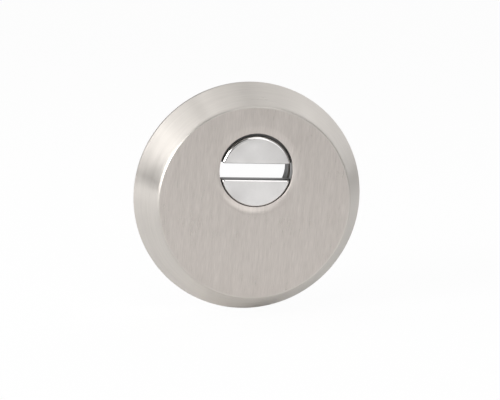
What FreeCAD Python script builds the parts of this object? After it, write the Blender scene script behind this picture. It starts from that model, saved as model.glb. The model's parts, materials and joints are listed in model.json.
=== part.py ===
import FreeCAD, Part
import math
import os

import Sketcher
from FreeCAD import Placement, Rotation, Vector

# A round security escutcheon for a euro-profile lock cylinder.
# The door face is the plane y = 0 and the front faces -Y, with +Z up.
# The origin is the centre of the back, on the door face.
# Each piece is drawn lying down: its own Z axis runs from the door towards the front,
# so a depth is a distance in front of the door face. Its Placement then stands it up.

doc = FreeCAD.newDocument("security_escutcheon")

DIMENSIONS = {
    # Cover
    "base_diameter": 55.0,
    "face_diameter": 45.8,
    "cover_height": 10.5,
    "rim_height": 1.0,
    "cone_wall": 1.7,
    "face_wall": 2.0,
    "edge_radius": 0.3,
    "hole_diameter": 17.5,
    "dish_width": 1.9,
    "dish_depth": 0.4,
    # Lock cylinder that the escutcheon fits
    "plug_height": 7.8,
    "cylinder_diameter": 17.0,
    "web_width": 10.0,
    "web_drop": 19.5,
    "cylinder_clearance": 0.15,
    "web_clearance": 0.2,
    # Stack of plates from the door to the cover's face
    "pad_thickness": 1.2,
    "plate_thickness": 3.0,
    "web_recess": 1.8,
    "cover_gap": 0.25,
    "pad_clearance": 0.35,
    # Key disc and what carries it
    "disc_clearance": 0.35,
    "disc_seat_gap": 0.05,
    "disc_proud": 0.25,
    "flange_width": 1.8,
    "flange_thickness": 1.2,
    "slot_height": 3.8,
    "land_radius": 0.7,
    "slot_edge_radius": 0.4,
    "pocket_clearance": 0.1,
    "slide_washer_thickness": 0.35,
    "thrust_ring_thickness": 0.8,
    "ring_clearance": 0.15,
    "disc_travel": 1.5,
    "collar_wall": 0.5,
    "collar_gap": 0.15,
    "spring_strip": 0.35,
    # Threaded bosses for the fixing bolts
    "boss_spacing": 38.0,
    "boss_diameter": 8.0,
    "boss_reach": 6.5,
    "boss_head_diameter": 9.2,
    "boss_head_thickness": 1.6,
    "boss_flat": 3.7,
    "boss_end_wall": 1.2,
    "boss_chamfer": 0.5,
    "bolt_tap_diameter": 5.0,
    "fit_clearance": 0.05,
    "head_clearance": 0.1,
    # Screws that hold the cover
    "screw_diameter": 3.0,
    "screw_length": 8.0,
    "screw_head_diameter": 5.8,
    "screw_head_edge": 0.2,
    "screw_socket": 2.0,
    "screw_socket_depth": 1.1,
    "screw_tip": 0.4,
    "screw_hole_clearance": 0.2,
    "screw_access_clearance": 0.5,
    "post_diameter": 6.0,
    "post_length": 2.3,
    "post_clearance": 0.2,
    "post_inset": 3.9,
    "thread_runout": 0.2,
    "upper_screw_angle": 35.0,
    "lower_screw_angle": 49.5,
    # Hardened pins beside the cylinder's web
    "pin_diameter": 3.0,
    "pin_length": 3.2,
    "pin_chamfer": 0.3,
    "pin_web_wall": 1.1,
    "pin_rise": 1.0,
    "pin_pitch": 5.5,
}

# How near two sizes are when they count as the same, and the wave spring's counts
MATCH = 1e-4
WAVE_COUNT = 3
SECTION_COUNT = 36

dims = doc.addObject("Spreadsheet::Sheet", "dims")
for row, (alias, number) in enumerate(DIMENSIONS.items(), start=1):
    dims.set(f"A{row}", alias)
    dims.set(f"B{row}", str(number))
    dims.setAlias(f"B{row}", alias)
doc.recompute()


def value(rule):
    """The number that an expression on the sheet gives."""
    return float(dims.evalExpression(rule))


def cone_radius(depth):
    """Rule for the radius of the cover's conical side at a depth."""
    slope = "(dims.base_diameter - dims.face_diameter) / 2 / (dims.cover_height - dims.rim_height)"
    return f"(dims.base_diameter / 2 - ({depth} - dims.rim_height) * {slope})"


def inside_radius(depth):
    """Rule for the radius of the cover's inner side at a depth."""
    return f"({cone_radius(depth)} - dims.cone_wall)"


def filling_radius(depth):
    """Rule for the radius of what fills the cover, at a depth."""
    return f"({inside_radius(depth)} - dims.cover_gap)"


# Depths shared by several pieces
INNER_FACE = "(dims.cover_height - dims.face_wall)"
RIM_DEPTH = "(dims.cover_height - dims.dish_depth)"
PLATE_BACK = "dims.pad_thickness"
PLATE_FRONT = "(dims.pad_thickness + dims.plate_thickness)"
FLANGE_FRONT = f"({INNER_FACE} - dims.slide_washer_thickness)"
FLANGE_BACK = f"({FLANGE_FRONT} - dims.flange_thickness)"
THRUST_BACK = f"({FLANGE_BACK} - dims.thrust_ring_thickness)"
COLLAR_TOP = f"({FLANGE_BACK} - dims.disc_travel - dims.collar_gap)"
POST_BACK = f"({INNER_FACE} - dims.post_length)"

# Radii shared by several pieces
HOLE_RADIUS = "(dims.hole_diameter / 2)"
PASSAGE_RADIUS = "(dims.cylinder_diameter / 2 + dims.cylinder_clearance)"
WEB_RADIUS = "(dims.web_width / 2 + dims.web_clearance)"
WEB_END = "(dims.plug_height - dims.web_drop)"
COLLAR_RADIUS = f"({PASSAGE_RADIUS} + dims.collar_wall)"
FLANGE_RADIUS = f"(max({HOLE_RADIUS}; {PASSAGE_RADIUS}) + dims.flange_width)"
POCKET_RADIUS = f"({FLANGE_RADIUS} + dims.disc_clearance + dims.pocket_clearance)"
BOSS_X = "(dims.boss_spacing / 2)"
BOSS_HOLE_RADIUS = "(dims.boss_diameter / 2)"
BOSS_SEAT_RADIUS = "(dims.boss_head_diameter / 2 + dims.head_clearance)"
SINK_RADIUS = "(dims.screw_head_diameter / 2 + dims.screw_head_edge + dims.head_clearance)"
SCREW_RADIUS = "(dims.screw_diameter / 2 - dims.fit_clearance)"
SCREW_HOLE_RADIUS = "(dims.screw_diameter / 2 + dims.screw_hole_clearance)"

# Height of the disc, whose own weight lets it down in its hole
DISC_HEIGHT = "(dims.plug_height - dims.disc_clearance + dims.disc_seat_gap)"

# Places in the plan, each an (x, z) pair of rules
SCREW_RING = f"({inside_radius(INNER_FACE)} - dims.post_inset)"
UPPER_SCREW_X = f"{SCREW_RING} * cos(dims.upper_screw_angle)"
UPPER_SCREW_Z = f"{SCREW_RING} * sin(dims.upper_screw_angle)"
LOWER_SCREW_X = f"{SCREW_RING} * cos(dims.lower_screw_angle)"
LOWER_SCREW_Z = f"-{SCREW_RING} * sin(dims.lower_screw_angle)"
SCREW_PLACES = [
    (UPPER_SCREW_X, UPPER_SCREW_Z),
    (f"-{UPPER_SCREW_X}", UPPER_SCREW_Z),
    (f"-{LOWER_SCREW_X}", LOWER_SCREW_Z),
    (LOWER_SCREW_X, LOWER_SCREW_Z),
]
PIN_X = f"({WEB_RADIUS} + dims.pin_web_wall + dims.pin_diameter / 2)"
LOWER_PIN_Z = f"({WEB_END} + dims.pin_rise)"
UPPER_PIN_Z = f"({LOWER_PIN_Z} + dims.pin_pitch)"
PIN_PLACES = [
    (PIN_X, UPPER_PIN_Z),
    (f"-{PIN_X}", UPPER_PIN_Z),
    (f"-{PIN_X}", LOWER_PIN_Z),
    (PIN_X, LOWER_PIN_Z),
]
BOSS_PLACES = [(f"-{BOSS_X}", "0"), (BOSS_X, "0")]


def new_body(name, x="0", depth="0", height="0"):
    """A body that stands with its own Z axis towards the front, at a place on the sheet."""
    body = doc.addObject("PartDesign::Body", name)
    body.Label = name
    place_upright(body, x, depth, height)
    return body


def place_upright(piece, x, depth, height):
    """Stands a piece up and ties its place to the sheet."""
    piece.Placement = Placement(Vector(0, 0, 0), Rotation(Vector(1, 0, 0), 90))
    piece.setExpression(".Placement.Base.x", x)
    piece.setExpression(".Placement.Base.y", f"-({depth})")
    piece.setExpression(".Placement.Base.z", height)


def new_sketch(body, name, role="XY_Plane", depth=None):
    """A sketch on one of the body's own planes, moved along its normal to a depth."""
    sketch = body.newObject("Sketcher::SketchObject", name)
    plane = next(item for item in body.Origin.OriginFeatures if item.Role == role)
    sketch.AttachmentSupport = [(plane, "")]
    sketch.MapMode = "FlatFace"
    if depth is not None:
        sketch.setExpression(".AttachmentOffset.Base.z", depth)
    return sketch


def drive(sketch, constraint, rule):
    """Adds a constraint whose size comes from the sheet."""
    index = sketch.addConstraint(constraint)
    sketch.setExpression(f"Constraints[{index}]", rule)


def fix_point(sketch, geometry, point, x, y):
    """Ties a point to the sheet. A coordinate of 0 lies on the sketch's own axis."""
    for kind, axis, rule in (("DistanceX", -2, x), ("DistanceY", -1, y)):
        if rule == "0":
            sketch.addConstraint(Sketcher.Constraint("PointOnObject", geometry, point, axis))
        else:
            drive(sketch, Sketcher.Constraint(kind, geometry, point, value(rule)), rule)


def add_circle(sketch, x, y, radius):
    """A circle whose centre and radius come from the sheet."""
    centre = Vector(value(x), value(y), 0)
    circle = sketch.addGeometry(Part.Circle(centre, Vector(0, 0, 1), value(radius)))
    fix_point(sketch, circle, 3, x, y)
    drive(sketch, Sketcher.Constraint("Radius", circle, value(radius)), radius)


def add_outline(sketch, corners):
    """A closed outline of straight lines, each corner an (x, y) pair of rules."""
    points = [Vector(value(x), value(y), 0) for x, y in corners]
    lines = []
    for start, end in zip(points, points[1:] + points[:1]):
        lines.append(sketch.addGeometry(Part.LineSegment(start, end)))
    for line, following in zip(lines, lines[1:] + lines[:1]):
        sketch.addConstraint(Sketcher.Constraint("Coincident", line, 2, following, 1))
    for line, (x, y) in zip(lines, corners):
        fix_point(sketch, line, 1, x, y)


def add_upright_slot(sketch, low, high, radius):
    """A slot along the sketch's upright axis, round at both ends."""
    size = value(radius)
    bottom = Vector(0, value(low), 0)
    top = Vector(0, value(high), 0)
    side = Vector(size, 0, 0)
    upper = sketch.addGeometry(Part.ArcOfCircle(Part.Circle(top, Vector(0, 0, 1), size), 0, math.pi))
    left = sketch.addGeometry(Part.LineSegment(top - side, bottom - side))
    lower = sketch.addGeometry(
        Part.ArcOfCircle(Part.Circle(bottom, Vector(0, 0, 1), size), math.pi, 2 * math.pi)
    )
    right = sketch.addGeometry(Part.LineSegment(bottom + side, top + side))
    for first, second in ((upper, left), (left, lower), (lower, right), (right, upper)):
        sketch.addConstraint(Sketcher.Constraint("Tangent", first, 2, second, 1))
    fix_point(sketch, upper, 3, "0", high)
    fix_point(sketch, lower, 3, "0", low)
    drive(sketch, Sketcher.Constraint("Radius", upper, size), radius)


def revolve(body, name, corners):
    """A solid of revolution about the body's Z axis, from (radius, depth) corners."""
    sketch = new_sketch(body, f"{name}_profile", "XZ_Plane")
    add_outline(sketch, corners)
    feature = body.newObject("PartDesign::Revolution", name)
    feature.Profile = sketch
    feature.ReferenceAxis = (sketch, ["V_Axis"])
    feature.Angle = 360
    sketch.Visibility = False
    return feature


def pad(body, name, sketch, length):
    """A pad from its sketch towards the front."""
    feature = body.newObject("PartDesign::Pad", name)
    feature.Profile = sketch
    feature.setExpression("Length", length)
    return feature


def pocket(body, name, sketch, length=None, forward=False):
    """A pocket from its sketch, to the back or forward. With no length it goes right through."""
    feature = body.newObject("PartDesign::Pocket", name)
    feature.Profile = sketch
    feature.Reversed = forward
    if length is None:
        feature.Type = "ThroughAll"
    else:
        feature.setExpression("Length", length)
    return feature


def round_pockets(body, name, places, radius, depth, length=None, forward=False):
    """Round pockets of one radius at several places."""
    sketch = new_sketch(body, f"{name}_sketch", depth=depth)
    for x, y in places:
        add_circle(sketch, x, y, radius)
    return pocket(body, name, sketch, length, forward)


def circle_edges(feature, radius, depth):
    """Names of the feature's circular edges of a radius at a depth of the body's own frame."""
    names = []
    for number, edge in enumerate(feature.Shape.Edges, start=1):
        curve = edge.Curve
        if not isinstance(curve, Part.Circle):
            continue
        same_radius = abs(curve.Radius - value(radius)) < MATCH
        same_depth = abs(curve.Center.z - value(depth)) < MATCH
        if same_radius and same_depth:
            names.append(f"Edge{number}")
    return names


# Cover

def make_cover():
    body = new_body("cover")
    shell = revolve(
        body,
        "cover_shell",
        [
            (inside_radius("dims.rim_height"), "0"),
            ("dims.base_diameter / 2", "0"),
            ("dims.base_diameter / 2", "dims.rim_height"),
            ("dims.face_diameter / 2", "dims.cover_height"),
            ("0", "dims.cover_height"),
            ("0", INNER_FACE),
            (inside_radius(INNER_FACE), INNER_FACE),
            (inside_radius("dims.rim_height"), "dims.rim_height"),
        ],
    )
    doc.recompute()

    edge = body.newObject("PartDesign::Fillet", "face_edge")
    edge.Base = (shell, circle_edges(shell, "dims.face_diameter / 2", "dims.cover_height"))
    edge.setExpression("Radius", "dims.edge_radius")

    posts = new_sketch(body, "screw_posts_sketch", depth=POST_BACK)
    for x, y in SCREW_PLACES:
        add_circle(posts, x, y, "dims.post_diameter / 2")
    pad(body, "screw_posts", posts, "dims.post_length + dims.face_wall / 2")
    thread_depth = f"{PLATE_BACK} + dims.screw_length + dims.thread_runout - {POST_BACK}"
    round_pockets(
        body, "screw_threads", SCREW_PLACES, "dims.screw_diameter / 2", POST_BACK, thread_depth, True
    )
    round_pockets(
        body, "disc_hole", [("0", "dims.plug_height")], HOLE_RADIUS, POST_BACK, forward=True
    )
    make_dish(body)
    return body


def make_dish(body):
    """The soft rim of the cover's hole: tangent to the face and falling towards the hole."""
    sketch = new_sketch(body, "dish_profile", "YZ_Plane")
    outer_x = f"dims.plug_height + {HOLE_RADIUS} + dims.dish_width"
    rim_x = f"dims.plug_height + {HOLE_RADIUS}"
    inner_x = f"dims.plug_height + {HOLE_RADIUS} - dims.dish_width"
    above = "dims.cover_height + dims.dish_depth"

    width = value("dims.dish_width")
    drop = value("dims.dish_depth")
    radius = (width**2 + drop**2) / (2 * drop)
    centre = Vector(value(outer_x), value("dims.cover_height") - radius, 0)
    outer = Vector(value(outer_x), value("dims.cover_height"), 0)
    rim = Vector(value(rim_x), value(RIM_DEPTH), 0)
    inner = Vector(value(inner_x), value(RIM_DEPTH), 0)
    inner_top = Vector(value(inner_x), value(above), 0)
    outer_top = Vector(value(outer_x), value(above), 0)

    circle = Part.Circle(centre, Vector(0, 0, 1), radius)
    steepest = math.pi / 2 + math.asin(width / radius)
    arc = sketch.addGeometry(Part.ArcOfCircle(circle, math.pi / 2, steepest))
    floor = sketch.addGeometry(Part.LineSegment(rim, inner))
    inner_side = sketch.addGeometry(Part.LineSegment(inner, inner_top))
    ceiling = sketch.addGeometry(Part.LineSegment(inner_top, outer_top))
    outer_side = sketch.addGeometry(Part.LineSegment(outer_top, outer))
    joined = ((arc, 2, floor, 1), (floor, 2, inner_side, 1), (inner_side, 2, ceiling, 1))
    for first, first_end, second, second_end in joined:
        sketch.addConstraint(Sketcher.Constraint("Coincident", first, first_end, second, second_end))
    sketch.addConstraint(Sketcher.Constraint("Coincident", ceiling, 2, outer_side, 1))
    sketch.addConstraint(Sketcher.Constraint("Coincident", outer_side, 2, arc, 1))
    sketch.addConstraint(Sketcher.Constraint("Vertical", arc, 3, arc, 1))
    fix_point(sketch, arc, 1, outer_x, "dims.cover_height")
    fix_point(sketch, arc, 2, rim_x, RIM_DEPTH)
    fix_point(sketch, inner_side, 1, inner_x, RIM_DEPTH)
    fix_point(sketch, inner_side, 2, inner_x, above)
    fix_point(sketch, ceiling, 2, outer_x, above)

    foot = Vector(value("dims.plug_height"), 0, 0)
    head = Vector(value("dims.plug_height"), value("dims.cover_height"), 0)
    axis = sketch.addGeometry(Part.LineSegment(foot, head), True)
    fix_point(sketch, axis, 1, "dims.plug_height", "0")
    fix_point(sketch, axis, 2, "dims.plug_height", "dims.cover_height")

    dish = body.newObject("PartDesign::Groove", "dish")
    dish.Profile = sketch
    dish.ReferenceAxis = (sketch, ["Axis0"])
    dish.Angle = 360


# Armour core

def make_armour_core():
    body = new_body("armour_core")
    revolve(
        body,
        "core_blank",
        [
            ("0", PLATE_FRONT),
            (filling_radius(PLATE_FRONT), PLATE_FRONT),
            (filling_radius(INNER_FACE), INNER_FACE),
            ("0", INNER_FACE),
        ],
    )
    round_pockets(body, "disc_pocket", [("0", "dims.plug_height")], POCKET_RADIUS, INNER_FACE)
    web = new_sketch(body, "web_recess_sketch", depth=PLATE_FRONT)
    add_upright_slot(web, WEB_END, "dims.plug_height", WEB_RADIUS)
    pocket(body, "web_recess", web, "dims.web_recess", forward=True)
    round_pockets(
        body,
        "post_pockets",
        SCREW_PLACES,
        "dims.post_diameter / 2 + dims.post_clearance",
        INNER_FACE,
        "dims.post_length + dims.post_clearance",
    )
    round_pockets(body, "core_screw_holes", SCREW_PLACES, SCREW_HOLE_RADIUS, INNER_FACE)
    round_pockets(
        body,
        "pin_holes",
        PIN_PLACES,
        "dims.pin_diameter / 2",
        PLATE_FRONT,
        "dims.pin_length + dims.fit_clearance",
        True,
    )
    return body


# Base plate

def make_base_plate():
    body = new_body("base_plate")
    revolve(
        body,
        "plate_blank",
        [
            ("0", PLATE_BACK),
            (filling_radius(PLATE_BACK), PLATE_BACK),
            (filling_radius(PLATE_FRONT), PLATE_FRONT),
            ("0", PLATE_FRONT),
        ],
    )
    collar = new_sketch(body, "collar_sketch", depth=PLATE_BACK)
    add_circle(collar, "0", "dims.plug_height", COLLAR_RADIUS)
    pad(body, "collar", collar, f"{COLLAR_TOP} - {PLATE_BACK}")
    round_pockets(
        body, "round_passage", [("0", "dims.plug_height")], PASSAGE_RADIUS, PLATE_BACK, forward=True
    )
    web = new_sketch(body, "web_passage_sketch", depth=PLATE_BACK)
    add_upright_slot(web, WEB_END, "dims.plug_height", WEB_RADIUS)
    pocket(body, "web_passage", web, forward=True)

    round_pockets(body, "boss_holes", BOSS_PLACES, BOSS_HOLE_RADIUS, PLATE_BACK, forward=True)
    seats = new_sketch(body, "boss_seats_sketch", depth=PLATE_FRONT)
    for side, (x, _) in zip((-1, 1), BOSS_PLACES):
        add_flatted_circle(seats, x, side, BOSS_SEAT_RADIUS, "dims.boss_flat + dims.head_clearance")
    pocket(body, "boss_seats", seats, "dims.boss_head_thickness")

    screw_holes = round_pockets(
        body, "plate_screw_holes", SCREW_PLACES, SCREW_HOLE_RADIUS, PLATE_BACK, forward=True
    )
    doc.recompute()
    sinks = body.newObject("PartDesign::Chamfer", "countersinks")
    sinks.Base = (screw_holes, circle_edges(screw_holes, SCREW_HOLE_RADIUS, PLATE_BACK))
    sinks.setExpression("Size", f"{SINK_RADIUS} - {SCREW_HOLE_RADIUS}")
    return body


def add_flatted_circle(sketch, x, side, radius, flat):
    """A circle with one flat across it on the outer side, side being -1 for left and 1 for right."""
    size = value(radius)
    reach = value(flat)
    centre = Vector(value(x), 0, 0)
    half = math.acos(reach / size)
    middle = 0 if side > 0 else math.pi
    circle = Part.Circle(centre, Vector(0, 0, 1), size)
    arc = sketch.addGeometry(Part.ArcOfCircle(circle, middle + half, middle - half + 2 * math.pi))
    start = centre + Vector(size * math.cos(middle + half), size * math.sin(middle + half), 0)
    end = centre + Vector(size * math.cos(middle - half), size * math.sin(middle - half), 0)
    chord = sketch.addGeometry(Part.LineSegment(end, start))
    sketch.addConstraint(Sketcher.Constraint("Coincident", arc, 2, chord, 1))
    sketch.addConstraint(Sketcher.Constraint("Coincident", chord, 2, arc, 1))
    sketch.addConstraint(Sketcher.Constraint("Vertical", chord))
    fix_point(sketch, arc, 3, x, "0")
    drive(sketch, Sketcher.Constraint("Radius", arc, size), radius)
    flat_x = f"{x} + {side} * ({flat})"
    drive(sketch, Sketcher.Constraint("DistanceX", chord, 1, value(flat_x)), flat_x)


# Backing pad

def make_backing_pad():
    body = new_body("backing_pad")
    outline = new_sketch(body, "pad_outline")
    add_circle(outline, "0", "0", filling_radius("dims.rim_height"))
    pad(body, "pad_blank", outline, "dims.pad_thickness")
    round_pockets(
        body,
        "pad_round_opening",
        [("0", "dims.plug_height")],
        f"{PASSAGE_RADIUS} + dims.pad_clearance",
        "0",
        forward=True,
    )
    web = new_sketch(body, "pad_web_sketch")
    add_upright_slot(web, WEB_END, "dims.plug_height", f"{WEB_RADIUS} + dims.pad_clearance")
    pocket(body, "pad_web_opening", web, forward=True)
    round_pockets(
        body, "pad_boss_holes", BOSS_PLACES, f"{BOSS_HOLE_RADIUS} + dims.pad_clearance", "0", forward=True
    )
    round_pockets(
        body,
        "pad_screw_holes",
        SCREW_PLACES,
        "dims.screw_head_diameter / 2 + dims.screw_access_clearance",
        "0",
        forward=True,
    )
    return body


# Key disc

def make_key_disc():
    body = new_body("key_disc", height=DISC_HEIGHT)
    land = f"({HOLE_RADIUS} - dims.disc_clearance)"
    front = f"({RIM_DEPTH} + dims.disc_proud)"
    blank = revolve(
        body,
        "disc_blank",
        [
            ("0", FLANGE_BACK),
            (FLANGE_RADIUS, FLANGE_BACK),
            (FLANGE_RADIUS, FLANGE_FRONT),
            (land, FLANGE_FRONT),
            (land, front),
            ("0", front),
        ],
    )
    doc.recompute()
    rounding = body.newObject("PartDesign::Fillet", "land_rounding")
    rounding.Base = (blank, circle_edges(blank, land, front))
    rounding.setExpression("Radius", "dims.land_radius")

    slot = new_sketch(body, "key_slot_sketch", depth=FLANGE_BACK)
    add_key_slot(slot, HOLE_RADIUS, "dims.slot_height / 2")
    key_slot = pocket(body, "key_slot", slot, forward=True)
    doc.recompute()

    edges = []
    for number, edge in enumerate(key_slot.Shape.Edges, start=1):
        if not isinstance(edge.Curve, Part.Line):
            continue
        middle = edge.CenterOfMass
        along_slot = abs(abs(middle.y) - value("dims.slot_height / 2")) < MATCH
        if along_slot and abs(middle.z - value(front)) < MATCH:
            edges.append(f"Edge{number}")
    lips = body.newObject("PartDesign::Fillet", "slot_edges")
    lips.Base = (key_slot, edges)
    lips.setExpression("Radius", "dims.slot_edge_radius")
    return body


def add_key_slot(sketch, radius, half_height):
    """A level slot whose ends follow a circle about the sketch's origin."""
    size = value(radius)
    up = value(half_height)
    across = math.sqrt(size**2 - up**2)
    half = math.asin(up / size)
    circle = Part.Circle(Vector(0, 0, 0), Vector(0, 0, 1), size)
    right = sketch.addGeometry(Part.ArcOfCircle(circle, -half, half))
    top = sketch.addGeometry(Part.LineSegment(Vector(across, up, 0), Vector(-across, up, 0)))
    left = sketch.addGeometry(Part.ArcOfCircle(circle, math.pi - half, math.pi + half))
    bottom = sketch.addGeometry(Part.LineSegment(Vector(-across, -up, 0), Vector(across, -up, 0)))
    for first, second in ((right, top), (top, left), (left, bottom), (bottom, right)):
        sketch.addConstraint(Sketcher.Constraint("Coincident", first, 2, second, 1))
    sketch.addConstraint(Sketcher.Constraint("Coincident", right, 3, -1, 1))
    sketch.addConstraint(Sketcher.Constraint("Coincident", left, 3, -1, 1))
    sketch.addConstraint(Sketcher.Constraint("Horizontal", top))
    sketch.addConstraint(Sketcher.Constraint("Horizontal", bottom))
    drive(sketch, Sketcher.Constraint("Radius", right, size), radius)
    drive(sketch, Sketcher.Constraint("Radius", left, size), radius)
    drive(sketch, Sketcher.Constraint("DistanceY", top, 1, up), half_height)
    drive(sketch, Sketcher.Constraint("DistanceY", bottom, 1, -up), f"-({half_height})")


# Rings behind the disc

def make_ring(name, inner, outer, back, front):
    body = new_body(name, height="dims.plug_height")
    revolve(body, f"{name}_ring", [(inner, back), (outer, back), (outer, front), (inner, front)])
    return body


def make_slide_washer():
    return make_ring(
        "slide_washer", f"{HOLE_RADIUS} + dims.ring_clearance", FLANGE_RADIUS, FLANGE_FRONT, INNER_FACE
    )


def make_thrust_ring():
    return make_ring(
        "thrust_ring", f"{COLLAR_RADIUS} + dims.ring_clearance", FLANGE_RADIUS, THRUST_BACK, FLANGE_BACK
    )


def make_wave_spring():
    """A one-turn wave spring of flat strip, with three crests against the thrust ring."""
    inner = value(f"{COLLAR_RADIUS} + 2 * dims.ring_clearance")
    outer = value(f"{FLANGE_RADIUS} - dims.ring_clearance")
    strip = value("dims.spring_strip")
    lowest = value(PLATE_FRONT)
    highest = value(THRUST_BACK) - strip
    middle = (lowest + highest) / 2
    swing = (highest - lowest) / 2
    wires = []
    for number in range(SECTION_COUNT):
        angle = 2 * math.pi * number / SECTION_COUNT
        depth = middle + swing * math.sin(WAVE_COUNT * angle)
        outwards = Vector(math.cos(angle), math.sin(angle), 0)
        corners = [
            outwards * inner + Vector(0, 0, depth),
            outwards * outer + Vector(0, 0, depth),
            outwards * outer + Vector(0, 0, depth + strip),
            outwards * inner + Vector(0, 0, depth + strip),
        ]
        wires.append(Part.makePolygon(corners + corners[:1]))
    spring = doc.addObject("Part::Feature", "wave_spring")
    spring.Label = "wave_spring"
    spring.Shape = Part.makeLoft(wires, True, True, True)
    place_upright(spring, "0", "0", "dims.plug_height")
    return spring


# Threaded bosses

def make_fixing_boss(name, side, x):
    body = new_body(name, x=x, depth="-dims.boss_reach")
    shank = f"({BOSS_HOLE_RADIUS} - dims.fit_clearance)"
    head = "(dims.boss_head_diameter / 2)"
    bore = "(dims.bolt_tap_diameter / 2)"
    head_front = f"(dims.boss_reach + {PLATE_FRONT})"
    head_back = f"({head_front} - dims.boss_head_thickness)"
    bore_end = f"({head_front} - dims.boss_end_wall)"
    revolve(
        body,
        f"{name}_blank",
        [
            (f"{bore} + dims.boss_chamfer", "0"),
            (f"{shank} - dims.boss_chamfer / 2", "0"),
            (shank, "dims.boss_chamfer / 2"),
            (shank, head_back),
            (head, head_back),
            (head, head_front),
            ("0", head_front),
            ("0", bore_end),
            (bore, bore_end),
            (bore, "dims.boss_chamfer"),
        ],
    )
    flat = new_sketch(body, f"{name}_flat_sketch", depth=head_front)
    inner_x = f"{side} * dims.boss_flat"
    outer_x = f"{side} * dims.boss_head_diameter"
    add_outline(
        flat,
        [
            (inner_x, "-dims.boss_head_diameter"),
            (outer_x, "-dims.boss_head_diameter"),
            (outer_x, "dims.boss_head_diameter"),
            (inner_x, "dims.boss_head_diameter"),
        ],
    )
    pocket(body, f"{name}_flat", flat, "dims.boss_head_thickness")
    return body


# Screws and pins

def make_cover_screw(number, x, z):
    name = f"cover_screw_{number}"
    body = new_body(name, x=x, depth=PLATE_BACK, height=z)
    head = "(dims.screw_head_diameter / 2)"
    revolve(
        body,
        f"{name}_blank",
        [
            ("0", "0"),
            (head, "0"),
            (head, "dims.screw_head_edge"),
            (SCREW_RADIUS, f"dims.screw_head_edge + {head} - {SCREW_RADIUS}"),
            (SCREW_RADIUS, "dims.screw_length - dims.screw_tip"),
            (f"{SCREW_RADIUS} - dims.screw_tip", "dims.screw_length"),
            ("0", "dims.screw_length"),
        ],
    )
    socket = new_sketch(body, f"{name}_socket_sketch")
    corner = "dims.screw_socket / sqrt(3)"
    half = "dims.screw_socket / 2"
    add_outline(
        socket,
        [
            (corner, "0"),
            (f"{corner} / 2", half),
            (f"-{corner} / 2", half),
            (f"-{corner}", "0"),
            (f"-{corner} / 2", f"-{half}"),
            (f"{corner} / 2", f"-{half}"),
        ],
    )
    pocket(body, f"{name}_socket", socket, "dims.screw_socket_depth", forward=True)
    return body


def make_drill_pin(number, x, z):
    name = f"drill_pin_{number}"
    body = new_body(name, x=x, depth=PLATE_FRONT, height=z)
    radius = "(dims.pin_diameter / 2 - dims.fit_clearance)"
    revolve(
        body,
        f"{name}_blank",
        [
            ("0", "0"),
            (f"{radius} - dims.pin_chamfer", "0"),
            (radius, "dims.pin_chamfer"),
            (radius, "dims.pin_length - dims.pin_chamfer"),
            (f"{radius} - dims.pin_chamfer", "dims.pin_length"),
            ("0", "dims.pin_length"),
        ],
    )
    return body


pieces = [
    make_cover(),
    make_armour_core(),
    make_base_plate(),
    make_backing_pad(),
    make_key_disc(),
    make_slide_washer(),
    make_thrust_ring(),
    make_wave_spring(),
    make_fixing_boss("left_fixing_boss", -1, f"-{BOSS_X}"),
    make_fixing_boss("right_fixing_boss", 1, BOSS_X),
]
for count, (place_x, place_z) in enumerate(SCREW_PLACES, start=1):
    pieces.append(make_cover_screw(count, place_x, place_z))
for count, (place_x, place_z) in enumerate(PIN_PLACES, start=1):
    pieces.append(make_drill_pin(count, place_x, place_z))

doc.recompute()

failed = [item.Label for item in doc.Objects if {"Invalid", "Error"} & set(item.State)]
for piece in pieces:
    if piece.Shape.isNull() or not piece.Shape.isValid() or len(piece.Shape.Solids) != 1:
        failed.append(piece.Label)
if failed:
    raise RuntimeError(f"these objects failed: {failed}")

os.makedirs("parts", exist_ok=True)
for piece in pieces:
    piece.Shape.exportStep(f"parts/{piece.Label}.step")
    print(piece.Label, round(piece.Shape.Volume, 2))
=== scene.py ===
import json
import math

import bpy
from mathutils import Matrix, Quaternion, Vector


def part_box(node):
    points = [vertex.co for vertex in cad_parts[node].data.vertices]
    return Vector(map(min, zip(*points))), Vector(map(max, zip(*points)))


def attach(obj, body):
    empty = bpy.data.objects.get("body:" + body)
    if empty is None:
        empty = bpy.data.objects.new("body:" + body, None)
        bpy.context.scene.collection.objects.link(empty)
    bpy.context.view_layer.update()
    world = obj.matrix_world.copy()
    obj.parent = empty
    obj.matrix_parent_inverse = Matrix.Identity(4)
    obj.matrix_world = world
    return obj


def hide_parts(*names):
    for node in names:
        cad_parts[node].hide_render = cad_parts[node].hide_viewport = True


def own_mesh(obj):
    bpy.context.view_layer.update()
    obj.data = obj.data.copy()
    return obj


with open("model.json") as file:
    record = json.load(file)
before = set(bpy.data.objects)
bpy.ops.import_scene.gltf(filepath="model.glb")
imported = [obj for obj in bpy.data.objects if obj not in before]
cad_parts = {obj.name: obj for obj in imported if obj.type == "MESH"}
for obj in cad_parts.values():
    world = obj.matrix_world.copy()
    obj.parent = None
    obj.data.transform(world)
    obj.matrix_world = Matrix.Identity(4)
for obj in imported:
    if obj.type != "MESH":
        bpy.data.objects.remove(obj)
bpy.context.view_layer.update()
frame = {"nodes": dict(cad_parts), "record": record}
nodes = frame["nodes"]

# Lengths are in metres. The door face is the plane y = 0 and the front faces -Y, with +Z up.
MM = 0.001

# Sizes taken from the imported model
COVER_LOW, COVER_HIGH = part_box("cover")
BASE_RADIUS = COVER_HIGH.x
DISC_LOW, DISC_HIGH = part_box("key_disc")
DISC_HEIGHT = (DISC_LOW.z + DISC_HIGH.z) / 2
WASHER_LOW, WASHER_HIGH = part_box("slide_washer")
HOLE_HEIGHT = (WASHER_LOW.z + WASHER_HIGH.z) / 2
SPRING_LOW, SPRING_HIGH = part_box("wave_spring")
BOSS_LOW, BOSS_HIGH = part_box("right_fixing_boss")

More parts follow.
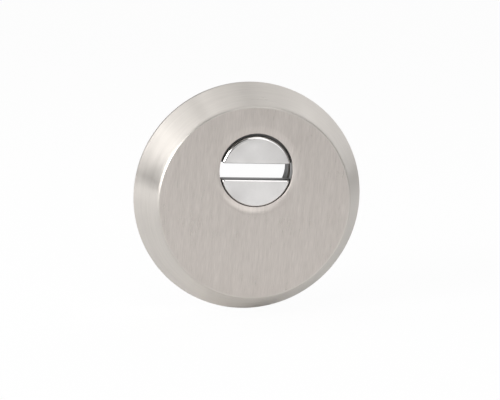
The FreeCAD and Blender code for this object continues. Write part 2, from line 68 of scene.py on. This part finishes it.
# Sizes of the cover that its finish follows
FACE_RADIUS = 22.9 * MM
HOLE_RADIUS = 8.75 * MM
DISH_WIDTH = 1.9 * MM

# Half the height of the disc's key slot
SLOT_HALF = 1.9 * MM

# Sizes of the wave spring's flat strip
SPRING_STRIP = 0.35 * MM
SPRING_WIDTH = 0.95 * MM
SPRING_EDGE = 0.07 * MM
SPRING_WAVES = 3
SPRING_SECTIONS = 144

# Sizes of the fixing bosses and their M6 thread. Its flats are a share of the pitch.
BOSS_X = 19 * MM
BOSS_RADIUS = 3.95 * MM
BOSS_HEAD_RADIUS = 4.6 * MM
BOSS_HEAD_THICKNESS = 1.6 * MM
BOSS_EDGE = 0.25 * MM
THREAD_PITCH = 1.0 * MM
THREAD_CREST = 2.5 * MM
THREAD_ROOT = 3.0 * MM
THREAD_FLAT = 0.2
THREAD_STEPS = 12
THREAD_MOUTH = 0.5 * MM
BORE_END_WALL = 1.2 * MM
BOSS_SIDES = 60

# An edge between two faces stays sharp from this angle on
SHARP_EDGE = math.radians(35)

# Camera: where it stands, and where the origin lies in the picture of 500 x 400 pixels
PICTURE_WIDTH = 500
PIXEL = 0.24015 * MM
SENSOR_WIDTH = 36.0
CAMERA_DISTANCE = 450 * MM
CAMERA_CLIP = 10 * MM
CAMERA_TO_LEFT = math.radians(10.93)
CAMERA_ABOVE = math.radians(10.25)
CAMERA_ROLL = math.radians(2.55)
ORIGIN_LEFT_OF_MIDDLE = 2.8 * PIXEL
ORIGIN_ABOVE_MIDDLE = 4.55 * PIXEL

# What the floor shows of plain white, to each kind of ray. The rest is its own lit colour.
FLOOR_HALF = 2.0
FLOOR_COLOUR = (0.82, 0.82, 0.82)
FLOOR_WHITE_SHARES = {"Is Camera Ray": 0.95, "Is Glossy Ray": 0.025, "Is Transmission Ray": 0.1}

# Soft boxes: degrees to the right of straight in front, degrees above level, distance, width, height,
# brightness, and how far each is turned in its own plane in degrees
LAMPS = {
    "key_box": (-68, 10, 0.5, 0.2, 0.2, 8.3, 0),
    "left_box": (-105, 38, 0.44, 0.25, 0.25, 1.58, -20),
    "rear_left_box": (-130, 45, 0.44, 0.25, 0.25, 0.42, 0),
    "high_left_box": (-112, 68.5, 0.44, 0.29, 0.29, 1.0, -23),
    "front_box": (15, 55, 0.6, 0.3, 0.5, 1.2, 0),
    "top_box": (20, 78, 0.6, 0.5, 0.25, 0.3, 0),
}

# Soft lights: degrees to the right of straight in front, degrees above level, sharpness and brightness
SOFT_LIGHTS = {
    "key_glow": (-55, 18, 70, 32.0),
    "front_right": (30, 5, 10, 0.9),
    "front_right_high": (36, 32, 10, 0.5),
    "front_high": (16, 18, 40, 1.2),
    "front_left_high": (-14, 22, 40, 0.8),
    "right_rear": (120, 5, 10, 0.83),
    "rear": (144, 32, 10, 1.42),
    "overhead": (180, 60, 10, 0.62),
}

# From here on, sizes of patterns and distances within a material are in millimetres.
# Each range of noise is the part of it that a pattern is drawn from: the narrower, the stronger the pattern.
CLOUD_RANGE = (0.35, 0.65)
LINE_RANGE = (0.3, 0.7)

# Satin nickel: tones of the darkest and lightest brush lines on face and side, of smears, and the painted
# shade of the deep bore
# The face and the side are one nickel: the face's tones are a painted shade darker than the side's
FACE_TONES = ((0.509, 0.468, 0.436), (0.657, 0.608, 0.57))
SIDE_TONES = ((0.57, 0.539, 0.504), (0.703, 0.667, 0.626))
SMEAR_TONE = (0.68, 0.642, 0.6)
BORE_PAINTED_SHADE_TONE = (0.4, 0.385, 0.365)

# Brush lines: how the face's lean, how far apart and how long they are, and the share of the broad ones
FACE_BRUSH_LEAN = math.radians(2.9)
FACE_FINE_LINES = (0.2, 2.8)
FACE_BROAD_LINES = (1.1, 13.0)
FACE_BROAD_SHARE = 0.4
SIDE_FINE_LINES = (0.16, 5.0)
SIDE_BROAD_LINES = (0.9, 22.0)
SIDE_BROAD_SHARE = 0.45
SIDE_LINE_RANGE = (0.22, 0.78)

# Smears on the satin: their size, and the most that they hide of the brushing
SMEAR_SIZE = 9.0
SMEAR_SHARE = 0.12

# Where one finish of the cover passes into the next. The side is measured from the cover's axis, the bore and
# the dished rim from the hole's, the bore's painted shade by depth, and the rough edge from the face's
# radius.
SIDE_FADE = (FACE_RADIUS / MM - 0.5, FACE_RADIUS / MM - 0.1)
BORE_FADE = (HOLE_RADIUS / MM + 0.01, HOLE_RADIUS / MM + 0.04)
DISH_FADE = ((HOLE_RADIUS + DISH_WIDTH) / MM - 0.8, (HOLE_RADIUS + DISH_WIDTH) / MM + 0.1)
BORE_SHADE = (COVER_LOW.y / MM + 0.6, COVER_LOW.y / MM + 1.1)
EDGE_FADE = (0.05, 0.45)
EDGE_SHARE = 0.75

# Roughness of the satin: its darkest and lightest lines, what smears take or add, its edge, dish and bore
LINE_ROUGHNESS = (0.26, 0.36)
SMEAR_ROUGHNESS = (-0.02, 0.02)
EDGE_ROUGHNESS = 0.55
DISH_ROUGHNESS = 0.36
BORE_ROUGHNESS = 0.5

# How far the brushing and the dish stretch a reflection, the dish's even level and the depth of the lines
BRUSHED_ANISOTROPY = 0.88
DISH_ANISOTROPY = 0.3
DISH_LINE_LEVEL = 0.5
LINE_DEPTH = 0.003

# Polished chrome: tones of its hazy polish and smudges, and the painted shade of the slot's walls and of the
# slot's far end
POLISH_TONES = ((0.78, 0.765, 0.755), (0.84, 0.825, 0.815))
SMUDGE_TONE = (0.68, 0.665, 0.655)
SLOT_WALL_PAINTED_SHADE = (0.16, 0.16, 0.16)
SLOT_END_PAINTED_SHADE = (0.42, 0.42, 0.42)

# Haze, smudges and wipe marks on the chrome. The smudges' place is where in the noise they are taken from.
HAZE_SIZE = 3.5
SMUDGE_SIZE = 8.0
SMUDGE_PLACE = (2.1, 5.0, 10.0)
SMUDGE_RANGE = (0.4, 0.65)
WIPE_SIZES = (0.12, 3.0, 2.4)
WIPE_DEPTH = 0.0006

# Where the slot's walls and the flange begin, and how rough the polish, wipe marks and dull parts are
SLOT_FADE = (SLOT_HALF / MM + 0.01, SLOT_HALF / MM + 0.05)
FLANGE_FADE = (WASHER_LOW.y / MM - 0.1, WASHER_LOW.y / MM)
POLISH_ROUGHNESS = (0.035, 0.09)
WIPE_ROUGHNESS = (-0.01, 0.015)
DULL_ROUGHNESS = 0.45

# Bare metals: darker and lighter tone, range of roughness, size of the grain and depth of its bump
PLAIN_METALS = {
    "hardened_steel": ((0.17, 0.17, 0.18), (0.28, 0.28, 0.29), (0.35, 0.5), 0.25, 0.006),
    "zinc_plate": ((0.2, 0.2, 0.2), (0.28, 0.28, 0.28), (0.45, 0.6), 0.3, 0.008),
    "bronze": ((0.48, 0.33, 0.17), (0.6, 0.42, 0.23), (0.25, 0.38), 0.2, 0.004),
    "spring_steel": ((0.38, 0.38, 0.39), (0.5, 0.5, 0.51), (0.25, 0.36), 0.15, 0.003),
    "turned_steel": ((0.53, 0.53, 0.52), (0.68, 0.68, 0.67), (0.25, 0.38), 0.2, 0.004),
    "screw_steel": ((0.1, 0.1, 0.105), (0.19, 0.19, 0.2), (0.35, 0.5), 0.15, 0.004),
    "pin_steel": ((0.34, 0.34, 0.36), (0.46, 0.46, 0.48), (0.2, 0.3), 0.15, 0.002),
}

# How many times larger than its grain the cloudy tone of a bare metal is
CLOUD_TIMES = 9

# Moulded plastics, with the same columns, and the size of their clouds
PLASTICS = {
    "pad_plastic": ((0.075, 0.075, 0.08), (0.1, 0.1, 0.11), (0.5, 0.62), 0.12, 0.01),
    "slide_plastic": ((0.035, 0.035, 0.035), (0.05, 0.05, 0.05), (0.4, 0.5), 0.2, 0.003),
}
PLASTIC_CLOUDS = 8.0


# Camera, floor and light

def make_camera():
    """Stands the camera at the photograph's angle, with a long lens."""
    back = Vector((
        -math.sin(CAMERA_TO_LEFT) * math.cos(CAMERA_ABOVE),
        -math.cos(CAMERA_TO_LEFT) * math.cos(CAMERA_ABOVE),
        math.sin(CAMERA_ABOVE),
    ))
    level_right = Vector((math.cos(CAMERA_TO_LEFT), -math.sin(CAMERA_TO_LEFT), 0))
    level_up = back.cross(level_right)
    right = level_right * math.cos(CAMERA_ROLL) + level_up * math.sin(CAMERA_ROLL)
    up = level_up * math.cos(CAMERA_ROLL) - level_right * math.sin(CAMERA_ROLL)
    place = back * CAMERA_DISTANCE + right * ORIGIN_LEFT_OF_MIDDLE - up * ORIGIN_ABOVE_MIDDLE
    data = bpy.data.cameras.new("camera")
    data.sensor_width = SENSOR_WIDTH
    data.lens = CAMERA_DISTANCE / PIXEL / PICTURE_WIDTH * SENSOR_WIDTH
    data.clip_start = CAMERA_CLIP
    camera = bpy.data.objects.new("camera", data)
    bpy.context.scene.collection.objects.link(camera)
    turn = Matrix((right, up, back)).transposed()
    camera.matrix_world = Matrix.Translation(place) @ turn.to_4x4()
    bpy.context.scene.camera = camera


def add_share(tree, amount, factor, total):
    """Adds a node that is an amount times a factor, on top of a running total if there is one yet."""
    node = tree.nodes.new("ShaderNodeMath")
    node.operation = "MULTIPLY_ADD"
    node.inputs[1].default_value = factor
    node.inputs[2].default_value = 0
    tree.links.new(amount, node.inputs[0])
    if total is not None:
        tree.links.new(total, node.inputs[2])
    return node.outputs[0]


def make_floor():
    """A wide white floor that the rim stands on. It keeps a faint shadow."""
    half = FLOOR_HALF
    height = -BASE_RADIUS
    corners = [(-half, -half, height), (half, -half, height), (half, half, height), (-half, half, height)]
    mesh = bpy.data.meshes.new("floor")
    mesh.from_pydata(corners, [], [(0, 1, 2, 3)])
    floor = bpy.data.objects.new("floor", mesh)
    bpy.context.scene.collection.objects.link(floor)
    material = bpy.data.materials.new("floor_white")
    material.use_nodes = True
    tree = material.node_tree
    tree.nodes.clear()
    diffuse = tree.nodes.new("ShaderNodeBsdfDiffuse")
    diffuse.inputs["Color"].default_value = (*FLOOR_COLOUR, 1)
    white = tree.nodes.new("ShaderNodeEmission")
    white.inputs["Color"].default_value = (1, 1, 1, 1)
    path = tree.nodes.new("ShaderNodeLightPath")
    share = None
    for ray, most in FLOOR_WHITE_SHARES.items():
        share = add_share(tree, path.outputs[ray], most, share)
    mix = tree.nodes.new("ShaderNodeMixShader")
    output = tree.nodes.new("ShaderNodeOutputMaterial")
    tree.links.new(share, mix.inputs["Fac"])
    tree.links.new(diffuse.outputs[0], mix.inputs[1])
    tree.links.new(white.outputs[0], mix.inputs[2])
    tree.links.new(mix.outputs[0], output.inputs["Surface"])
    mesh.materials.append(material)


def towards(to_right, above):
    """The unit vector at two angles in degrees: 0 to the right is straight in front, 0 above is level."""
    turn = math.radians(to_right)
    lift = math.radians(above)
    return Vector((math.sin(turn) * math.cos(lift), -math.cos(turn) * math.cos(lift), math.sin(lift)))


def make_world():
    """A dark studio with soft lights in it. Each light fades smoothly away from its middle."""
    world = bpy.data.worlds.new("studio")
    bpy.context.scene.world = world
    world.use_nodes = True
    tree = world.node_tree
    tree.nodes.clear()
    place = tree.nodes.new("ShaderNodeTexCoord")
    total = None
    for to_right, above, sharpness, brightness in SOFT_LIGHTS.values():
        facing = tree.nodes.new("ShaderNodeVectorMath")
        facing.operation = "DOT_PRODUCT"
        facing.inputs[1].default_value = towards(to_right, above)
        falling = tree.nodes.new("ShaderNodeMath")
        falling.operation = "MULTIPLY_ADD"
        falling.inputs[1].default_value = sharpness
        falling.inputs[2].default_value = -sharpness
        glow = tree.nodes.new("ShaderNodeMath")
        glow.operation = "EXPONENT"
        tree.links.new(place.outputs["Generated"], facing.inputs[0])
        tree.links.new(facing.outputs["Value"], falling.inputs[0])
        tree.links.new(falling.outputs[0], glow.inputs[0])
        total = add_share(tree, glow.outputs[0], brightness, total)
    light = tree.nodes.new("ShaderNodeBackground")
    light.inputs["Color"].default_value = (1, 1, 1, 1)
    output = tree.nodes.new("ShaderNodeOutputWorld")
    tree.links.new(total, light.inputs["Strength"])
    tree.links.new(light.outputs[0], output.inputs["Surface"])


def make_lamp(name, to_right, above, distance, width, height, brightness, turn):
    """A soft box that looks at the middle of the object, turned in its own plane by an angle in degrees."""
    away = towards(to_right, above)
    data = bpy.data.lights.new(name, "AREA")
    data.shape = "RECTANGLE"
    data.size = width
    data.size_y = height
    data.energy = brightness * math.pi * width * height
    lamp = bpy.data.objects.new(name, data)
    bpy.context.scene.collection.objects.link(lamp)
    lamp.location = away * distance
    facing = away.to_track_quat("Z", "Y") @ Quaternion((0, 0, 1), math.radians(turn))
    lamp.rotation_euler = facing.to_euler()


# Materials

class Finish:
    """One material of nodes. Its patterns are laid out in millimetres of the piece's own frame."""

    def __init__(self, name, metallic=0.0):
        self.material = bpy.data.materials.new(name)
        self.material.use_nodes = True
        self.tree = self.material.node_tree
        self.tree.nodes.clear()
        self.shader = self.add("ShaderNodeBsdfPrincipled")
        self.shader.inputs["Metallic"].default_value = metallic
        output = self.add("ShaderNodeOutputMaterial")
        self.tree.links.new(self.shader.outputs[0], output.inputs["Surface"])
        place = self.add("ShaderNodeTexCoord")
        self.place = self.vector("SCALE", place.outputs["Object"], scale=1 / MM)

    def add(self, kind, **settings):
        """A new node of a kind, with its settings."""
        node = self.tree.nodes.new(kind)
        for name, setting in settings.items():
            setattr(node, name, setting)
        return node

    def put(self, socket, content):
        """Links an output to a socket, or writes a number or colour on it."""
        if isinstance(content, bpy.types.NodeSocket):
            self.tree.links.new(content, socket)
        elif isinstance(content, tuple) and socket.type == "RGBA":
            socket.default_value = (*content, 1)
        else:
            socket.default_value = content

    def math(self, operation, first, second=0.0):
        """An operation on two numbers, or on the first alone."""
        node = self.add("ShaderNodeMath", operation=operation)
        for socket, content in zip(node.inputs, (first, second)):
            self.put(socket, content)
        return node.outputs[0]

    def vector(self, operation, first, second=(0.0, 0.0, 0.0), scale=1.0):
        """An operation on vectors. A dot product or a length gives a number."""
        node = self.add("ShaderNodeVectorMath", operation=operation)
        self.put(node.inputs[0], first)
        self.put(node.inputs[1], second)
        if operation == "SCALE":
            self.put(node.inputs["Scale"], scale)
        return node.outputs["Value" if operation in ("DOT_PRODUCT", "LENGTH") else "Vector"]

    def noise(self, vector, detail, roughness=0.5):
        """Noise about 0.5, with features one unit of the vector apart."""
        node = self.add("ShaderNodeTexNoise")
        node.inputs["Scale"].default_value = 1.0
        node.inputs["Detail"].default_value = detail
        node.inputs["Roughness"].default_value = roughness
        self.put(node.inputs["Vector"], vector)
        return node.outputs["Fac"]

    def clouds(self, size, detail, roughness=0.5):
        """Even noise with features of a size."""
        return self.noise(self.vector("SCALE", self.place, scale=1 / size), detail, roughness)

    def straight(self, across, along, pitch, length, layer, detail, roughness):
        """Noise drawn out along a line: streaks a pitch apart and of a length. Each layer differs."""
        place = self.combine(self.math("DIVIDE", across, pitch), layer, self.math("DIVIDE", along, length))
        return self.noise(place, detail, roughness)

    def turned(self, direction, radius, depth, pitch, length):
        """Noise drawn out round an axis: streaks a pitch apart and of a length."""
        around = self.vector("SCALE", direction, scale=self.math("DIVIDE", radius, length))
        lines = self.combine(0.0, self.math("DIVIDE", depth, pitch), 0.0)
        return self.noise(self.vector("ADD", around, lines), detail=3.0, roughness=0.6)

    def spread(self, fac, low, high, start=0.0, end=1.0, smooth=False):
        """Maps fac from start..end to low..high."""
        node = self.add("ShaderNodeMapRange")
        node.interpolation_type = "SMOOTHSTEP" if smooth else "LINEAR"
        for name, content in (
            ("Value", fac), ("From Min", start), ("From Max", end), ("To Min", low), ("To Max", high),
        ):
            self.put(node.inputs[name], content)
        return node.outputs["Result"]

    def mix(self, fac, first, second):
        """Mixes two colours."""
        node = self.add("ShaderNodeMix", data_type="RGBA")
        self.put(node.inputs[0], fac)
        self.put(node.inputs[6], first)
        self.put(node.inputs[7], second)
        return node.outputs[2]

    def blend(self, fac, first, second):
        """Mixes two numbers."""
        node = self.add("ShaderNodeMix", data_type="FLOAT")
        self.put(node.inputs[0], fac)
        self.put(node.inputs[2], first)
        self.put(node.inputs[3], second)
        return node.outputs[0]

    def blend_vectors(self, fac, first, second):
        """Mixes two vectors."""
        node = self.add("ShaderNodeMix", data_type="VECTOR")
        self.put(node.inputs[0], fac)
        self.put(node.inputs[4], first)
        self.put(node.inputs[5], second)
        return node.outputs[1]

    def axes(self):
        """The three coordinates of a point in the piece's frame."""
        node = self.add("ShaderNodeSeparateXYZ")
        self.put(node.inputs[0], self.place)
        return node.outputs["X"], node.outputs["Y"], node.outputs["Z"]

    def combine(self, x, y, z):
        """A vector of three numbers."""
        node = self.add("ShaderNodeCombineXYZ")
        for socket, content in zip(node.inputs, (x, y, z)):
            self.put(socket, content)
        return node.outputs[0]

    def from_axis(self, x, z, middle_z=0.0):
        """Distance from a level axis along Y, and the unit direction away from it."""
        up = self.math("SUBTRACT", z, middle_z)
        across = self.combine(x, 0.0, up)
        radius = self.vector("LENGTH", across)
        return radius, self.vector("NORMALIZE", across)

    def distance(self, first, second):
        """How far two numbers are apart."""
        return self.math("ABSOLUTE", self.math("SUBTRACT", first, second))

    def colour(self, content):
        """Gives the shader its colour."""
        self.put(self.shader.inputs["Base Color"], content)

    def roughness(self, content):
        """Gives the shader its roughness."""
        self.put(self.shader.inputs["Roughness"], content)

    def bump(self, height, depth):
        """Raises the surface by up to a depth."""
        node = self.add("ShaderNodeBump")
        node.inputs["Distance"].default_value = depth * MM
        self.put(node.inputs["Height"], height)
        self.put(self.shader.inputs["Normal"], node.outputs[0])


def make_satin_nickel():
    """Satin nickel: upright brush lines on the face and lines round the side, with a rougher edge between.
    The dished rim is even, and the bore carries painted shade that darkens inwards."""
    finish = Finish("satin_nickel", metallic=1.0)
    x, y, z = finish.axes()
    radius, outwards = finish.from_axis(x, z)
    hole_radius, _ = finish.from_axis(x, z, HOLE_HEIGHT / MM)
    side = finish.spread(radius, 0.0, 1.0, *SIDE_FADE, smooth=True)
    bore = finish.spread(hole_radius, 1.0, 0.0, *BORE_FADE)
    dish = finish.spread(hole_radius, 1.0, 0.0, *DISH_FADE, smooth=True)
    edge_distance = finish.distance(radius, FACE_RADIUS / MM)
    edge = finish.spread(edge_distance, EDGE_SHARE, 0.0, *EDGE_FADE, smooth=True)

    across = finish.math("SUBTRACT", x, finish.math("MULTIPLY", z, math.tan(FACE_BRUSH_LEAN)))
    fine = finish.straight(across, z, *FACE_FINE_LINES, layer=0.0, detail=2.0, roughness=0.5)
    broad = finish.straight(across, z, *FACE_BROAD_LINES, layer=4.0, detail=3.0, roughness=0.6)
    face_lines = finish.spread(finish.blend(FACE_BROAD_SHARE, fine, broad), 0.0, 1.0, *LINE_RANGE)
    fine_turned = finish.turned(outwards, radius, y, *SIDE_FINE_LINES)
    broad_turned = finish.turned(outwards, radius, y, *SIDE_BROAD_LINES)
    side_lines = finish.blend(SIDE_BROAD_SHARE, fine_turned, broad_turned)
    side_lines = finish.spread(side_lines, 0.0, 1.0, *SIDE_LINE_RANGE)
    lines = finish.blend(side, face_lines, side_lines)

    # Painted shade: the face takes darker tones than the side, though both are the same nickel
    darker = finish.mix(side, FACE_TONES[0], SIDE_TONES[0])
    lighter = finish.mix(side, FACE_TONES[1], SIDE_TONES[1])
    brushed = finish.mix(lines, darker, lighter)
    smear = finish.clouds(SMEAR_SIZE, detail=3.0)
    smeared = finish.mix(finish.spread(smear, 0.0, SMEAR_SHARE, *CLOUD_RANGE), brushed, SMEAR_TONE)
    # Painted shade: the bore's wall is painted darker with depth, where shade falls in the hole
    painted_bore_shade = finish.math("MINIMUM", bore, finish.spread(y, 0.0, 1.0, *BORE_SHADE))
    finish.colour(finish.mix(painted_bore_shade, smeared, BORE_PAINTED_SHADE_TONE))

    rough = finish.math(
        "ADD", finish.spread(lines, *LINE_ROUGHNESS), finish.spread(smear, *SMEAR_ROUGHNESS, *LINE_RANGE))
    rough = finish.blend(edge, rough, EDGE_ROUGHNESS)
    rough = finish.blend(dish, rough, DISH_ROUGHNESS)
    finish.roughness(finish.blend(bore, rough, BORE_ROUGHNESS))
    finish.bump(finish.blend(dish, lines, DISH_LINE_LEVEL), LINE_DEPTH)
    finish.put(finish.shader.inputs["Anisotropic"], finish.blend(dish, BRUSHED_ANISOTROPY, DISH_ANISOTROPY))

    # The tangent lies across the brush lines: level on the face, along the axis on the side
    finish.put(finish.shader.inputs["Tangent"], finish.blend_vectors(side, (1.0, 0.0, 0.0), (0.0, 1.0, 0.0)))
    return finish.material


def make_polished_chrome():
    """Polished chrome with haze, smudges and faint wipe marks. The key slot's walls and the flange behind are
    dull and carry painted shade, and the slot's walls are painted paler where they pass through the flange."""
    finish = Finish("polished_chrome", metallic=1.0)
    _, depth, height = finish.axes()
    in_slot = finish.spread(finish.distance(height, DISC_HEIGHT / MM), 1.0, 0.0, *SLOT_FADE)
    behind = finish.spread(depth, 0.0, 1.0, *FLANGE_FADE)
    dull_and_painted_shade = finish.math("MAXIMUM", in_slot, behind)
    slot_end = finish.math("MINIMUM", in_slot, behind)

    haze = finish.clouds(HAZE_SIZE, detail=4.0, roughness=0.6)
    smudge_place = finish.vector("SCALE", finish.place, scale=1 / SMUDGE_SIZE)
    smudge = finish.noise(finish.vector("ADD", smudge_place, SMUDGE_PLACE), detail=1.0)
    wipes = finish.noise(finish.vector("DIVIDE", finish.place, WIPE_SIZES), detail=2.0)
    bright = finish.mix(finish.spread(haze, 0.0, 1.0, *CLOUD_RANGE), *POLISH_TONES)
    bright = finish.mix(finish.spread(smudge, 0.0, 1.0, *SMUDGE_RANGE), bright, SMUDGE_TONE)
    # Painted shade: the slot's walls and the flange are painted dark, and the slot's far end a paler painted
    # grey
    finish.colour(finish.mix(dull_and_painted_shade, bright, finish.mix(slot_end, SLOT_WALL_PAINTED_SHADE, SLOT_END_PAINTED_SHADE)))

    haze_rough = finish.spread(haze, *POLISH_ROUGHNESS, *LINE_RANGE)
    gloss = finish.math("ADD", haze_rough, finish.spread(wipes, *WIPE_ROUGHNESS, *LINE_RANGE))
    finish.roughness(finish.blend(dull_and_painted_shade, gloss, DULL_ROUGHNESS))
    finish.bump(wipes, WIPE_DEPTH)
    return finish.material


def make_plain_metal(name, dark, light, rough, grain, depth):
    """A bare metal with a fine even grain in cloudy tones."""
    finish = Finish(name, metallic=1.0)
    coarse = finish.clouds(grain * CLOUD_TIMES, detail=4.0, roughness=0.6)
    fine = finish.clouds(grain, detail=3.0, roughness=0.6)
    tone = finish.blend(0.5, coarse, fine)
    finish.colour(finish.mix(finish.spread(tone, 0.0, 1.0, *CLOUD_RANGE), dark, light))
    finish.roughness(finish.spread(tone, *rough, *CLOUD_RANGE))
    finish.bump(fine, depth)
    return finish.material


def make_plastic(name, dark, light, rough, grain, depth):
    """A moulded plastic with a fine grain."""
    finish = Finish(name)
    fine = finish.clouds(grain, detail=2.0)
    broad = finish.clouds(PLASTIC_CLOUDS, detail=3.0)
    finish.colour(finish.mix(finish.spread(broad, 0.0, 1.0, *CLOUD_RANGE), dark, light))
    finish.roughness(finish.spread(fine, *rough, *CLOUD_RANGE))
    finish.bump(fine, depth)
    return finish.material


def make_finishes():
    """Every finish, under the name of its material slot."""
    made = {"satin_nickel": make_satin_nickel(), "polished_chrome": make_polished_chrome()}
    for slot, look in PLAIN_METALS.items():
        made[slot] = make_plain_metal(slot, *look)
    for slot, look in PLASTICS.items():
        made[slot] = make_plastic(slot, *look)
    return made


def dress_nodes(finishes):
    """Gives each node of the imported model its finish."""
    for piece in frame["record"]["subparts"]:
        nodes[piece["node"]].material_slots[0].material = finishes[piece["material_slot"]]


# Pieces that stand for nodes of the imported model

def add_piece(name, points, faces, material):
    """A mesh object that is smooth but for its sharp edges."""
    mesh = bpy.data.meshes.new(name)
    mesh.from_pydata(points, [], faces)
    mesh.validate()
    mesh.shade_smooth()
    mesh.set_sharp_from_angle(angle=SHARP_EDGE)
    mesh.materials.append(material)
    piece = bpy.data.objects.new(name, mesh)
    bpy.context.scene.collection.objects.link(piece)
    return piece


def join_rings(rings, sides, around=False):
    """Faces between rings of points that follow one another, and back to the first if it goes around."""
    faces = []
    pairs = list(zip(range(rings - 1), range(1, rings)))
    if around:
        pairs.append((rings - 1, 0))
    for first, second in pairs:
        for side in range(sides):
            following = (side + 1) % sides
            faces.append((
                first * sides + side, first * sides + following,
                second * sides + following, second * sides + side,
            ))
    return faces


def make_wave_spring(material):
    """The wave spring, with eased edges."""
    outer = (SPRING_HIGH.x - SPRING_LOW.x) / 2
    inner = outer - SPRING_WIDTH
    height = SPRING_HIGH.y - SPRING_LOW.y
    middle = (SPRING_LOW.y + SPRING_HIGH.y) / 2
    swing = (height - SPRING_STRIP) / 2
    axis_z = (SPRING_LOW.z + SPRING_HIGH.z) / 2
    half = SPRING_STRIP / 2
    section = [
        (inner + SPRING_EDGE, -half), (outer - SPRING_EDGE, -half), (outer, -half + SPRING_EDGE),
        (outer, half - SPRING_EDGE), (outer - SPRING_EDGE, half), (inner + SPRING_EDGE, half),
        (inner, half - SPRING_EDGE), (inner, -half + SPRING_EDGE),
    ]
    points = []
    for number in range(SPRING_SECTIONS):
        angle = 2 * math.pi * number / SPRING_SECTIONS
        crest = middle - swing * math.sin(SPRING_WAVES * angle)
        for radius, depth in section:
            points.append((radius * math.cos(angle), crest + depth, axis_z + radius * math.sin(angle)))
    faces = join_rings(SPRING_SECTIONS, len(section), around=True)
    spring = add_piece("wave_spring_strip", points, faces, material)
    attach(spring, "escutcheon")
    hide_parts("wave_spring")
    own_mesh(spring)


def thread_radius(turn, depth):
    """Radius of the threaded bore at an angle and a depth. Its flanks stand about 60 degrees apart."""
    phase = (depth / THREAD_PITCH - turn / (2 * math.pi)) % 1.0
    rise = abs(phase - 0.5) * 2
    share = min(max((rise - THREAD_FLAT) / (1 - 2 * THREAD_FLAT), 0.0), 1.0)
    return THREAD_CREST + (THREAD_ROOT - THREAD_CREST) * share


def make_boss(side, name, material):
    """A threaded boss: shank, D-shaped head with its flat outwards, and an M6 thread cut from the back."""
    axis_x = side * BOSS_X
    flat = BOSS_HIGH.x - BOSS_X
    front = BOSS_LOW.y
    back = BOSS_HIGH.y
    bore_end = front + BORE_END_WALL
    head_back = front + BOSS_HEAD_THICKNESS
    rings = [
        (BOSS_HEAD_RADIUS - BOSS_EDGE, front), (BOSS_HEAD_RADIUS, front + BOSS_EDGE),
        (BOSS_HEAD_RADIUS, head_back), (BOSS_RADIUS, head_back),
        (BOSS_RADIUS, back - BOSS_EDGE), (BOSS_RADIUS - BOSS_EDGE, back),
        (THREAD_CREST + THREAD_MOUTH, back),
    ]
    turns = [2 * math.pi * number / BOSS_SIDES for number in range(BOSS_SIDES)]
    points = []
    for radius, depth in rings:
        for turn in turns:
            across = radius * math.cos(turn)
            if depth <= head_back:
                across = min(across, flat)
            points.append((axis_x + side * across, depth, radius * math.sin(turn)))
    thread_rows = round((back - bore_end) / THREAD_PITCH * THREAD_STEPS)
    for row in range(1, thread_rows + 1):
        depth = back - row * THREAD_PITCH / THREAD_STEPS
        mouth = THREAD_CREST + THREAD_MOUTH - (back - depth)
        for turn in turns:
            radius = max(thread_radius(turn, depth), mouth)
            points.append((axis_x + side * radius * math.cos(turn), depth, radius * math.sin(turn)))
    faces = join_rings(len(rings) + thread_rows, BOSS_SIDES)
    last = len(points) - BOSS_SIDES
    faces.append(tuple(range(BOSS_SIDES)))
    faces.append(tuple(range(len(points) - 1, last - 1, -1)))
    if side < 0:
        faces = [tuple(reversed(face)) for face in faces]
    boss = add_piece(f"{name}_threaded", points, faces, material)
    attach(boss, "escutcheon")
    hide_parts(name)


bpy.context.scene.view_settings.view_transform = "Standard"
make_camera()
make_floor()
make_world()
for lamp, settings in LAMPS.items():
    make_lamp(lamp, *settings)
finishes = make_finishes()
dress_nodes(finishes)
make_wave_spring(finishes["spring_steel"])
make_boss(-1, "left_fixing_boss", finishes["turned_steel"])
make_boss(1, "right_fixing_boss", finishes["turned_steel"])
